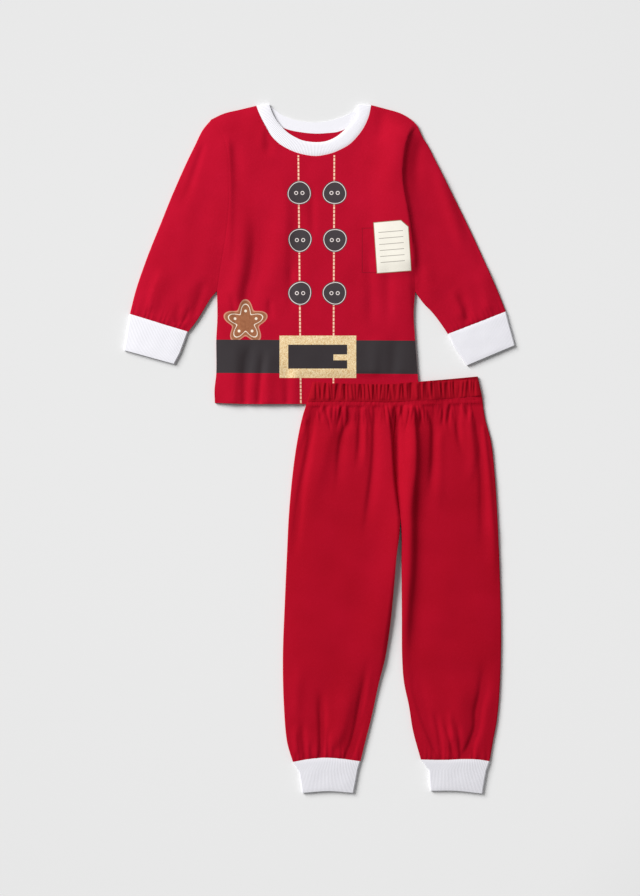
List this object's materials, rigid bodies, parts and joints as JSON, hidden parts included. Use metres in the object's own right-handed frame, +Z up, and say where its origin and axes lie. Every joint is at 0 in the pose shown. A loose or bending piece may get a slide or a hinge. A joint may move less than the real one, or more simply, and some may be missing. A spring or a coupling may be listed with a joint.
{
  "type": "pyjama set",
  "caption": "Child's two-piece red jersey pyjamas laid flat: a long-sleeved top with a belt and button print, and trousers, with white ribbed neckband and cuffs.",
  "frame": {"origin": "middle of the set's outline on the floor that it lies on", "axes": "+X towards the wearer's left sleeve (the viewer's right), +Y from the trousers towards the neck of the top, +Z up, out of the printed front"},
  "size_m": [0.547, 0.9646, 0.0155],
  "materials": {
    "red_jersey": "soft single jersey knit, matt with a faint sheen",
    "white_rib": "fine knitted rib, matt"
  },
  "bodies": {
    "root": {"top_front": "red_jersey", "top_back": "red_jersey", "sleeve_right": "red_jersey", "sleeve_left": "red_jersey", "neckband": "white_rib", "waistband": "red_jersey", "leg_right": "red_jersey", "leg_left": "red_jersey", "cuff_right": "white_rib", "cuff_left": "white_rib", "ankle_cuff_right": "white_rib", "ankle_cuff_left": "white_rib"}
  },
  "joints": []
}
